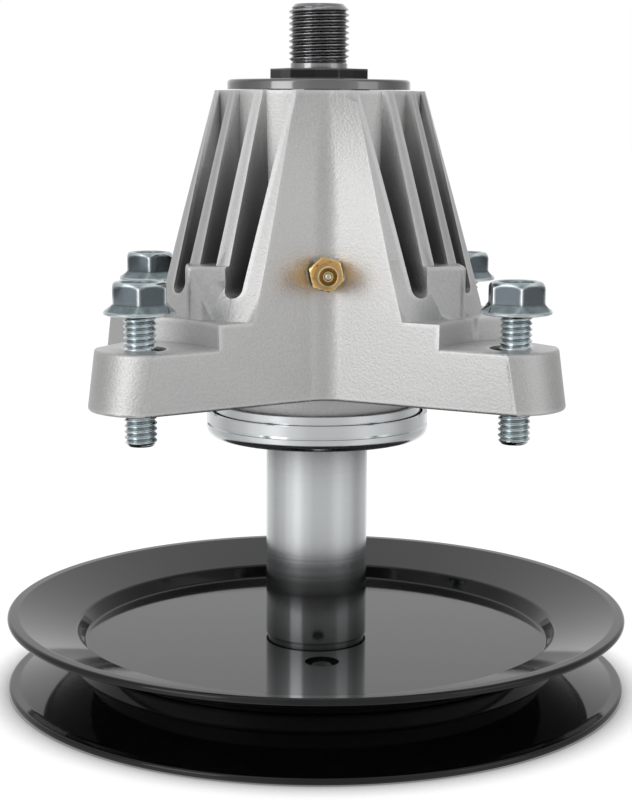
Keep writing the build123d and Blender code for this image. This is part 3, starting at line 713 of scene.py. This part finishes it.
def make_shaft():
    """The whole shaft: a turned bar between two threads."""
    builder = bmesh.new()
    core = THREAD_RADIUS - THREAD_DEPTH
    drive = DRIVE_RADIUS - DRIVE_INSET
    turn_outline(builder, [
        (0, LOWER_THREAD_HEAD), (core, LOWER_THREAD_HEAD), (drive, LOWER_THREAD_HEAD), (drive, WEB_FACE),
        (JOURNAL_RADIUS, WEB_FACE), (JOURNAL_RADIUS, WASHER_FACE), (drive, WASHER_FACE),
        (drive, STAR_FACE - STAR_INSET), (NECK_RADIUS, STAR_FACE - STAR_INSET), (NECK_RADIUS, NECK_HEAD - 0.4),
        (core, NECK_HEAD + 0.1), (0, NECK_HEAD + 0.1)], 96, closed=False)
    builder.from_mesh(tree_mesh(
        "blade_thread", THREAD_TREE, Crest_radius=THREAD_RADIUS * MM, Depth=THREAD_DEPTH * MM,
        Pitch=THREAD_PITCH * MM, Bottom=NECK_HEAD * MM, Length=(SHAFT_HEAD - NECK_HEAD) * MM,
        Bottom_chamfer=0.8 * MM, Top_chamfer=1.6 * MM, Around=97, Rows=180, Finish=SHAFT))
    builder.from_mesh(tree_mesh(
        "nut_thread", THREAD_TREE, Crest_radius=(THREAD_RADIUS - 0.05) * MM, Depth=THREAD_DEPTH * MM,
        Pitch=THREAD_PITCH * MM, Bottom=SHAFT_FOOT * MM, Length=(LOWER_THREAD_HEAD - SHAFT_FOOT) * MM,
        Bottom_chamfer=1.2 * MM, Top_chamfer=0.5 * MM, Around=97, Rows=90, Finish=SHAFT))
    shaft = finish_mesh("threaded_shaft", builder, SHAFT, smooth_angle=40)
    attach(shaft, "rotor")
    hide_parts("spindle_shaft")
    print("shaft faces", len(shaft.data.polygons))


make_shaft()

# %% [markdown]
# Deck screws.
#
# Four flanged, self-tapping screws stand part-driven in the lobes. The head is a hexagon whose corners are
# cut by a cone and whose top is dished, above a wide washer flange. Each ring of the head is a rule for its
# radius at an angle, so round rings turn into the hexagon without any boolean. One screw is made, and a
# small tree stands it on the four corners of a square grid.


# %% Geometry tree: one piece at four corners
def build_corners_tree():
    """Copies of the carrier's own mesh at the corners of a square."""
    tree = bpy.data.node_groups.new("corners", "GeometryNodeTree")
    for label, kind in (("Piece", "NodeSocketGeometry"), ("Spacing", "NodeSocketFloat"),
                        ("Finish", "NodeSocketMaterial")):
        tree.interface.new_socket(label, in_out="INPUT", socket_type=kind)
    tree.interface.new_socket("Geometry", in_out="OUTPUT", socket_type="NodeSocketGeometry")
    source = tree.nodes.new("NodeGroupInput").outputs
    result = tree.nodes.new("NodeGroupOutput")
    grid = place(tree, "GeometryNodeMeshGrid", {
        "Size X": source["Spacing"], "Size Y": source["Spacing"], "Vertices X": 2, "Vertices Y": 2})
    stood = place(tree, "GeometryNodeInstanceOnPoints", {
        "Points": grid.outputs["Mesh"], "Instance": source["Piece"]})
    whole = place(tree, "GeometryNodeRealizeInstances", {"Geometry": stood.outputs[0]})
    coloured = place(tree, "GeometryNodeSetMaterial", {
        "Geometry": whole.outputs[0], "Material": source["Finish"]})
    tree.links.new(coloured.outputs[0], result.inputs[0])
    return tree


CORNERS_TREE = build_corners_tree()

# %% Deck screws
SCREW_TIP = level("deck_screws", 0)
SCREW_RADIUS = 3.97
HALF_FLATS = 6.35
HEAD_STEPS = 96


def hexagon_radius(angle, half_flats):
    """Radius of a hexagon at an angle, with the middle of a flat at angle 0 and a corner at the front."""
    turned = (angle + TAU / 12) % (TAU / 6) - TAU / 12
    return half_flats / math.cos(turned)


def head_rings():
    """(radius, height) rules of the screw head from its seat up and into the dish."""
    corner = HALF_FLATS / math.cos(TAU / 12)
    crown = HEAD_HEIGHT - 0.2

    def side(angle):
        return hexagon_radius(angle, HALF_FLATS)

    def crown_height(angle):
        return crown - 0.9 * (side(angle) - HALF_FLATS) / (corner - HALF_FLATS)

    rim = SCREW_FLANGE_RADIUS
    return [
        lambda a: (0, 0), lambda a: (rim - 0.4, 0), lambda a: (rim, 0.25), lambda a: (rim, 0.75),
        lambda a: (rim - 0.3, 1.05),
        lambda a: (side(a) + 0.55, 2.15), lambda a: (side(a) + 0.08, 2.6), lambda a: (side(a), 3.0),
        lambda a: (side(a), crown_height(a) - 0.3), lambda a: (side(a) - 0.12, crown_height(a)),
        lambda a: (HALF_FLATS - 0.35, crown + 0.05), lambda a: (HALF_FLATS - 0.75, HEAD_HEIGHT),
        lambda a: (4.9, HEAD_HEIGHT), lambda a: (4.5, HEAD_HEIGHT - 0.25), lambda a: (3.9, HEAD_HEIGHT - 1.5),
        lambda a: (3.2, HEAD_HEIGHT - 1.75), lambda a: (0, HEAD_HEIGHT - 1.8)]


def ruled_rings(builder, rules, steps, placed):
    """Rings of points whose radius and height come from a rule at each angle, and whose place from placed."""
    rings = []
    for rule in rules:
        ring = []
        for step in range(steps):
            angle = TAU * step / steps
            radius, height = rule(angle)
            ring.append(builder.verts.new(placed(radius * math.cos(angle), radius * math.sin(angle), height)))
        rings.append(ring)
    return rings


def make_screws():
    """One screw, head and thread, stood at the four places."""
    single = bmesh.new()
    rings = ruled_rings(single, head_rings(), HEAD_STEPS,
                        lambda x, y, height: (x * MM, y * MM, (SCREW_SEAT + height) * MM))
    join_rings(single, rings)
    single.from_mesh(tree_mesh(
        "screw_thread", THREAD_TREE, Crest_radius=SCREW_RADIUS * MM, Depth=0.62 * MM, Pitch=1.41 * MM,
        Bottom=SCREW_TIP * MM, Length=(SCREW_SEAT - SCREW_TIP) * MM, Bottom_chamfer=1.0 * MM,
        Top_chamfer=0.7 * MM, Around=49, Rows=330, Finish=SCREW_ZINC))
    screw = bpy.data.meshes.new("screw")
    single.to_mesh(screw)
    single.free()
    builder = bmesh.new()
    builder.from_mesh(tree_mesh("four_screws", CORNERS_TREE, mesh=screw, Spacing=2 * SCREW_PLACE * MM,
                                Finish=SCREW_ZINC))
    screws = finish_mesh("threaded_screws", builder, SCREW_ZINC, smooth_angle=36)
    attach(screws, "housing")
    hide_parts("deck_screws")
    print("screw faces", len(screws.data.polygons))


make_screws()

# %% [markdown]
# Grease fitting.
#
# The brass fitting is a hexagon bar that was turned to a neck and a head. Its nose has a groove round the
# seat of the check ball, which is what reads as a dark ring from the front. It is made like the screws: each
# ring of points has a rule for its radius, and the rings run up the outside, over the nose and back down the
# bore.

# %% Grease fitting
FITTING_LENGTH = 9.0
FITTING_AXIS = (level("grease_fitting_ball", 0) + level("grease_fitting_ball", 1)) / 2
FITTING_SEAT = -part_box("grease_fitting_body")[0][1] / MM - FITTING_LENGTH
FITTING_TURN = math.radians(43)
FITTING_HALF_FLATS = 3.97
FITTING_STEPS = 72
HEX_SHOULDER = 1.7
HEX_CONE_FOOT = 7.94
HEX_CONE_SLOPE = 2.195
HEX_CONE_HEAD = 3.77


def fitting_rings():
    """(radius, height) rules of the brass body, in a closed loop from its inner end."""
    def bar(angle, height):
        cone = max(HEX_CONE_FOOT - (height - HEX_SHOULDER) * HEX_CONE_SLOPE, HEX_CONE_HEAD)
        return min(hexagon_radius(angle - FITTING_TURN + TAU / 12, FITTING_HALF_FLATS), cone)

    shank = [(0.8, -8.5), (2.9, -8.5), (3.1, -8.3), (3.1, 0.0)]
    head = [(2.45, 3.6), (2.45, 5.7), (2.7, 6.1), (3.15, 6.4), (3.3, 6.6), (3.3, 7.0), (3.2, 7.2), (2.6, 8.6),
            (2.5, 8.85), (2.36, 8.97), (2.24, 8.93), (2.15, 8.75)]
    groove = [(1.8, 7.9), (1.6, 7.8), (1.45, 7.9), (1.32, 8.6), (1.25, 8.72), (1.12, 8.74), (1.04, 8.62)]
    bore = [(0.97, 8.1), (1.35, 7.7), (1.35, 0.9), (0.8, 0.9)]
    rules = [lambda a, r=r, h=h: (r, h) for r, h in shank]
    rules += [lambda a, h=h: (bar(a, h), h) for h in (0.0, 3.15, 3.3, 3.45, 3.6)]
    return rules + [lambda a, r=r, h=h: (r, h) for r, h in head + groove + bore]


def make_fitting():
    """The brass body, pointing out of the housing's front."""
    builder = bmesh.new()
    rings = ruled_rings(builder, fitting_rings(), FITTING_STEPS,
                        lambda x, y, height: (x * MM, -(FITTING_SEAT + height) * MM, (FITTING_AXIS + y) * MM))
    join_rings(builder, rings, closed=True)
    fitting = finish_mesh("turned_fitting", builder, BRASS, smooth_angle=30)
    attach(fitting, "housing")
    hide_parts("grease_fitting_body")
    print("fitting axis at", FITTING_AXIS, "seat at", FITTING_SEAT)


make_fitting()

# %% [markdown]
# Check spring.
#
# The tiny spring behind the fitting's ball is a wire bent into a helix. A ring of points is carried along the
# helix, and its first turn starts a little above the model's, so that the spring keeps clear of the bottom
# of its chamber when the ball is pushed in.

# %% Check spring
WIRE_RADIUS = 0.16
SPRING_TURNS = 7
SPRING_LIFT = 0.14
SPRING_STEPS = 168
WIRE_SIDES = 8


def make_spring():
    """The spring's wire, from its inner end to the ball."""
    low, high = (Vector(corner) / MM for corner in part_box("grease_fitting_spring"))
    middle = (low.z + high.z) / 2
    coil = (high.x - low.x) / 2 - WIRE_RADIUS
    inner_end = high.y - WIRE_RADIUS - SPRING_LIFT
    outer_end = low.y + WIRE_RADIUS
    builder = bmesh.new()
    rings = []
    for step in range(SPRING_STEPS + 1):
        share = step / SPRING_STEPS
        turn = TAU * SPRING_TURNS * share
        outward = Vector((math.cos(turn), 0, math.sin(turn)))
        centre = Vector((0, inner_end + (outer_end - inner_end) * share, middle)) + outward * coil
        ring = []
        for side in range(WIRE_SIDES):
            angle = TAU * side / WIRE_SIDES
            point = centre + (outward * math.cos(angle) + Vector((0, 1, 0)) * math.sin(angle)) * WIRE_RADIUS
            ring.append(builder.verts.new(point * MM))
        rings.append(ring)
    join_rings(builder, rings)
    builder.faces.new(rings[0])
    builder.faces.new(rings[-1])
    spring = finish_mesh("wound_spring", builder, BEARING_STEEL)
    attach(spring, "check_ball")
    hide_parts("grease_fitting_spring")
    print("spring coil radius", coil, "from", inner_end, "to", outer_end)


make_spring()

# %% [markdown]
# Casting.
#
# The casting's mesh comes from the model. A copy is welded, its flat areas are joined again, and a Bevel
# rounds the corners a little, because a real casting has no sharp edge and its rounded corners are what
# catches the light. Weighted normals then keep the large faces flat, so that the light turns only in the
# narrow bevels.


# %% Soft copies of model pieces
def soft_copy(name, node, shape, width, segments, angle=28):
    """Welded copy of a CAD node, reshaped by a function, with edges rounded by a width in metres."""
    builder = bmesh.new()
    builder.from_mesh(frame["nodes"][node].data)
    bmesh.ops.remove_doubles(builder, verts=builder.verts, dist=0.00001)
    mesh = bpy.data.meshes.new(name)
    builder.to_mesh(mesh)
    builder.free()
    mesh.materials.append(frame["nodes"][node].data.materials[0])
    piece = bpy.data.objects.new(name, mesh)
    bpy.context.scene.collection.objects.link(piece)
    shape(piece)
    builder = bmesh.new()
    builder.from_mesh(piece.data)
    bmesh.ops.dissolve_limit(builder, angle_limit=math.radians(0.8), verts=builder.verts, edges=builder.edges)
    builder.to_mesh(piece.data)
    builder.free()
    bevel = piece.modifiers.new("soft_edges", "BEVEL")
    bevel.width = width
    bevel.segments = segments
    bevel.limit_method = "ANGLE"
    bevel.angle_limit = math.radians(angle)
    bake_modifiers(piece)
    weigh_normals(piece, 38)
    return piece


# %% [markdown]
# Rounded lobe ends.
#
# The model ends each lobe of the flange in a straight wall, and the real ones bulge outwards in an arc. Each
# end is built as a closed solid: its outline at a height is an arc from one side wall of the lobe to the
# other, and it is drawn in a little near its two rims to round them. Exact Booleans join the four ends to
# the flange and then cut the stepped screw holes clean through both.

# %% Rounded lobe ends
LOBE_INNER = 43.8
LOBE_INNER_DRAFT = 0.248
LOBE_INNER_CURVE = 0.076
LOBE_OUTER = 58.0
LOBE_OUTER_DRAFT = 0.0707
LOBE_OUTER_CURVE = 0.412
VALLEY_FOOT = 31.9
VALLEY_LEAN = 5.9
CASTING_HEIGHT = 76.3
LOBE_BULGE = 4.2
ARC_STEPS = 24
SIDE_OVERLAP = 5
FLANGE_FOOT = level("spindle_housing", 1) - CASTING_HEIGHT
FLANGE_THICKNESS = 14.8
RIM_ROUND = 0.8
HOLE_RADIUS = 4.02
MOUTH_DEPTH = 6.0


def lobe_end(rise, inset):
    """Outline of one lobe's rounded end at a height above the flange's foot, drawn in by inset."""
    share = rise / CASTING_HEIGHT
    near = LOBE_INNER * (1 - LOBE_INNER_DRAFT * share - LOBE_INNER_CURVE * share ** 2)
    far = LOBE_OUTER * (1 - LOBE_OUTER_DRAFT * share - LOBE_OUTER_CURVE * share ** 2)
    valley = VALLEY_FOOT - VALLEY_LEAN * share
    corner = Vector((near, -far))
    along = (corner - Vector((0, -valley))).normalized()
    outward = Vector((along.y, -along.x))
    half_chord = (far - near) / math.sqrt(2)
    bulge = LOBE_BULGE * (far - near) / (LOBE_OUTER - LOBE_INNER)
    radius = (half_chord ** 2 + bulge ** 2) / (2 * bulge)
    diagonal = Vector((1, -1)).normalized()
    centre = diagonal * ((near + far) / math.sqrt(2) + bulge - radius)
    start = corner - outward * (inset + 0.02) - centre
    lead = start.dot(along)
    travel = -lead + math.sqrt(lead ** 2 - start.length_squared + (radius - inset) ** 2)
    first = start + along * travel
    swing = first.angle(diagonal)
    points = [centre + first - along * SIDE_OVERLAP]
    for step in range(ARC_STEPS + 1):
        turn = -swing + 2 * swing * step / ARC_STEPS - TAU / 8
        points.append(centre + Vector((math.cos(turn), math.sin(turn))) * (radius - inset))
    points.append(Vector((-points[0].y, -points[0].x)))
    return points


def lobe_cap(builder, quarter):
    """One rounded end with soft rims, as a closed solid."""
    rims = [(0, RIM_ROUND), (0.12, 0.4), (0.4, 0.12), (RIM_ROUND, 0)]
    levels = rims + [(FLANGE_THICKNESS - rise, inset) for rise, inset in reversed(rims)]
    rings = []
    for rise, inset in levels:
        ring = [builder.verts.new((point.x * MM, point.y * MM, (FLANGE_FOOT + rise) * MM))
                for point in lobe_end(rise, inset)]
        rings.append(ring)
    join_rings(builder, rings)
    builder.faces.new(rings[0])
    builder.faces.new(rings[-1])
    bmesh.ops.rotate(builder, verts=[vert for ring in rings for vert in ring],
                     matrix=Matrix.Rotation(quarter * TAU / 4, 3, "Z"))


def screw_hole(builder, x, y):
    """The stepped hole of one screw, as a cutter."""
    top = FLANGE_FOOT + FLANGE_THICKNESS
    step = top - MOUTH_DEPTH
    fresh = bmesh.new()
    turn_outline(fresh, [(0, FLANGE_FOOT - 2), (HOLE_RADIUS, FLANGE_FOOT - 2), (HOLE_RADIUS, step),
                         (MOUTH_RADIUS, step), (MOUTH_RADIUS, top + 2), (0, top + 2)], 64, closed=False)
    bmesh.ops.translate(fresh, verts=fresh.verts, vec=(x * SCREW_PLACE * MM, y * SCREW_PLACE * MM, 0))
    mesh = bpy.data.meshes.new("hole")
    fresh.to_mesh(mesh)
    fresh.free()
    builder.from_mesh(mesh)
    bpy.data.meshes.remove(mesh)


def round_the_lobes(piece):
    """Join the rounded ends to the flange and cut the screw holes clean through them."""
    caps = bmesh.new()
    holes = bmesh.new()
    for quarter, (x, y) in enumerate(((1, -1), (1, 1), (-1, 1), (-1, -1))):
        lobe_cap(caps, quarter)
        screw_hole(holes, x, y)
    tools = [("UNION", finish_mesh("lobe_caps", caps, CAST)),
             ("DIFFERENCE", finish_mesh("screw_holes", holes, CAST))]
    for operation, tool in tools:
        step = piece.modifiers.new(tool.name, "BOOLEAN")
        step.operation = operation
        step.object = tool
        step.solver = "EXACT"
    bake_modifiers(piece)
    for operation, tool in tools:
        bpy.data.objects.remove(tool)


# %% [markdown]
# Housing.
#
# The soft copy and the rounded ends come together in one piece, which stands for the model's casting.


# %% Cast housing
def make_housing():
    """The finished casting."""
    housing = soft_copy("cast_housing", "spindle_housing", round_the_lobes, 0.9 * MM, 3)
    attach(housing, "housing")
    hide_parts("spindle_housing")
    print("casting faces", len(housing.data.polygons))


make_housing()

# %% [markdown]
# Studio.
#
# The picture is a plain product shot on white. The world is white only where the camera sees it. Metal looks
# like metal only if some of what it mirrors is darker, so for reflections the world's brightness follows the
# bearing round the object: 0 degrees is behind the camera, and each pair below is a bearing and its level.
# For all other light the world is dim, and lamps do the work.

# %% World
WORLD_LIGHT = 0.15
MIRRORED_STUDIO = (
    (-180, 0.85), (-165, 0.85), (-140, 0.6), (-110, 0.42), (-88, 0.5), (-70, 0.68), (-48, 0.88), (-27, 0.62),
    (-8, 0.5), (20, 0.5), (48, 0.64), (70, 0.54), (100, 0.36), (134, 0.5), (160, 0.85), (180, 0.85))


def make_world():
    """A white backdrop for the camera and a graded studio for reflections."""
    world = bpy.data.worlds.new("studio")
    bpy.context.scene.world = world
    world.use_nodes = True
    tree = world.node_tree
    tree.nodes.clear()
    rays = place(tree, "ShaderNodeLightPath")
    direction = place(tree, "ShaderNodeTexCoord").outputs["Generated"]
    x, y, _ = place(tree, "ShaderNodeSeparateXYZ", {0: direction}).outputs
    bearing = maths(tree, "ARCTAN2", x, maths(tree, "MULTIPLY", y, -1.0))
    share = maths(tree, "ADD", maths(tree, "DIVIDE", bearing, TAU), 0.5)
    ramp = place(tree, "ShaderNodeValToRGB", {0: share})
    ramp.color_ramp.interpolation = "EASE"
    elements = ramp.color_ramp.elements
    for number, (degrees, value) in enumerate(MIRRORED_STUDIO):
        position = degrees / 360 + 0.5
        element = elements[number] if number < 2 else elements.new(position)
        element.position = position
        element.color = grey(value)
    glossy = place(tree, "ShaderNodeBackground", {"Color": ramp.outputs[0], "Strength": 1.0})
    plain = place(tree, "ShaderNodeBackground", {"Color": grey(1.0), "Strength": WORLD_LIGHT})
    white = place(tree, "ShaderNodeBackground", {"Color": grey(1.0), "Strength": 1.0})
    mirrored = place(tree, "ShaderNodeMixShader", {
        0: rays.outputs["Is Glossy Ray"], 1: plain.outputs[0], 2: glossy.outputs[0]})
    seen = maths(tree, "MAXIMUM", rays.outputs["Is Camera Ray"], rays.outputs["Is Transmission Ray"])
    whole = place(tree, "ShaderNodeMixShader", {0: seen, 1: mirrored.outputs[0], 2: white.outputs[0]})
    place(tree, "ShaderNodeOutputWorld", {"Surface": whole.outputs[0]})


make_world()

# %% [markdown]
# Floor.
#
# The floor keeps the object's shadow and is otherwise white. For the camera it is nearly all glow, whose
# strength follows ambient occlusion, so it darkens softly where the pulley is close above it. Reflections
# pass through it to the studio, and so does a camera that stands below it.

# %% Floor
FLOOR_RADIUS = 6000
FLOOR_DROP = 0.02
SHADOW_REACH = 28 * MM
GLOW_SHARE = 0.95


def make_floor():
    """A wide disc just under the pulley's rim."""
    builder = bmesh.new()
    turn_outline(builder, [(0, -FLOOR_DROP), (FLOOR_RADIUS, -FLOOR_DROP)], 96, closed=False)
    material = bpy.data.materials.new("studio_floor")
    material.use_nodes = True
    tree = material.node_tree
    tree.nodes.clear()
    matt = place(tree, "ShaderNodeBsdfDiffuse", {"Color": grey(0.8)})
    open_share = place(tree, "ShaderNodeAmbientOcclusion", {"Distance": SHADOW_REACH}, samples=16).outputs["AO"]
    shadow = ramp_value(tree, open_share, 0.4, 0.85, 0.2, 1.1)
    glow = place(tree, "ShaderNodeEmission", {"Color": grey(1.0), "Strength": shadow})
    clear = place(tree, "ShaderNodeBsdfTransparent")
    rays = place(tree, "ShaderNodeLightPath")
    lift = maths(tree, "MULTIPLY", rays.outputs["Is Camera Ray"], GLOW_SHARE)
    both = place(tree, "ShaderNodeMixShader", {0: lift, 1: matt.outputs[0], 2: glow.outputs[0]})
    under = maths(tree, "MULTIPLY", rays.outputs["Is Camera Ray"],
                  place(tree, "ShaderNodeNewGeometry").outputs["Backfacing"])
    passed = maths(tree, "MAXIMUM", rays.outputs["Is Glossy Ray"], under)
    whole = place(tree, "ShaderNodeMixShader", {0: passed, 1: both.outputs[0], 2: clear.outputs[0]})
    place(tree, "ShaderNodeOutputMaterial", {"Surface": whole.outputs[0]})
    floor = finish_mesh("studio_floor", builder, material)
    if floor.data.polygons[0].normal.z < 0:
        floor.data.flip_normals()


make_floor()

# %% [markdown]
# Lamps.
#
# Two broad area lamps stand on either side of the camera, the left one about three times as strong as the
# right one. Their power is low enough that no pale face clips to white.


# %% Lamps
def add_lamp(name, place_at, aim, size, power):
    """A square area lamp, placed in metres and aimed at a point."""
    data = bpy.data.lights.new(name, "AREA")
    data.size = size
    data.energy = power
    lamp = bpy.data.objects.new(name, data)
    lamp.location = place_at
    lamp.rotation_mode = "QUATERNION"
    lamp.rotation_quaternion = (Vector(aim) - Vector(place_at)).to_track_quat("-Z", "Y")
    bpy.context.scene.collection.objects.link(lamp)


MIDDLE = (0, 0, 0.10)
add_lamp("left_key", (-0.74, -0.62, 0.36), MIDDLE, 0.5, 1.0)
add_lamp("right_fill", (0.82, -0.47, 0.36), MIDDLE, 0.5, 0.3)

# %% [markdown]
# Camera.
#
# The camera's place and lens were worked out from the rims of the pulley, the screws and the shaft in the
# photograph. It stands about half a metre away, a little left of the fitting, and looks down by nine
# degrees.

# %% Camera
CAMERA_REACH = 0.48946
CAMERA_HEIGHT = 0.15406
CAMERA_TURN = math.radians(3.53)
CAMERA_DIP = math.radians(8.99)
CAMERA_ROLL = math.radians(0.31)
FOCAL_PIXELS = 1861.08
LONG_SIDE_PIXELS = 800
AXIS_OFFSET_PIXELS = 1.14
SENSOR = 36.0


def make_camera():
    """The camera, with its focal length given in pixels of the photograph's long side."""
    data = bpy.data.cameras.new("camera")
    data.sensor_width = SENSOR
    data.lens = SENSOR * FOCAL_PIXELS / LONG_SIDE_PIXELS
    data.shift_x = -AXIS_OFFSET_PIXELS / LONG_SIDE_PIXELS
    data.clip_start = 0.01
    camera = bpy.data.objects.new("camera", data)
    forward = Vector((math.sin(CAMERA_TURN), math.cos(CAMERA_TURN), 0))
    camera.location = -CAMERA_REACH * forward + Vector((0, 0, CAMERA_HEIGHT))
    look = forward * math.cos(CAMERA_DIP) - Vector((0, 0, math.sin(CAMERA_DIP)))
    turn = look.to_track_quat("-Z", "Y").to_matrix() @ Matrix.Rotation(CAMERA_ROLL, 3, "Z")
    camera.rotation_mode = "QUATERNION"
    camera.rotation_quaternion = turn.to_quaternion()
    bpy.context.scene.collection.objects.link(camera)
    bpy.context.scene.camera = camera


make_camera()

# %% [markdown]
# Last step.
#
# The picture is shown without tone mapping.

# %% Finish
bpy.context.scene.view_settings.view_transform = "Standard"
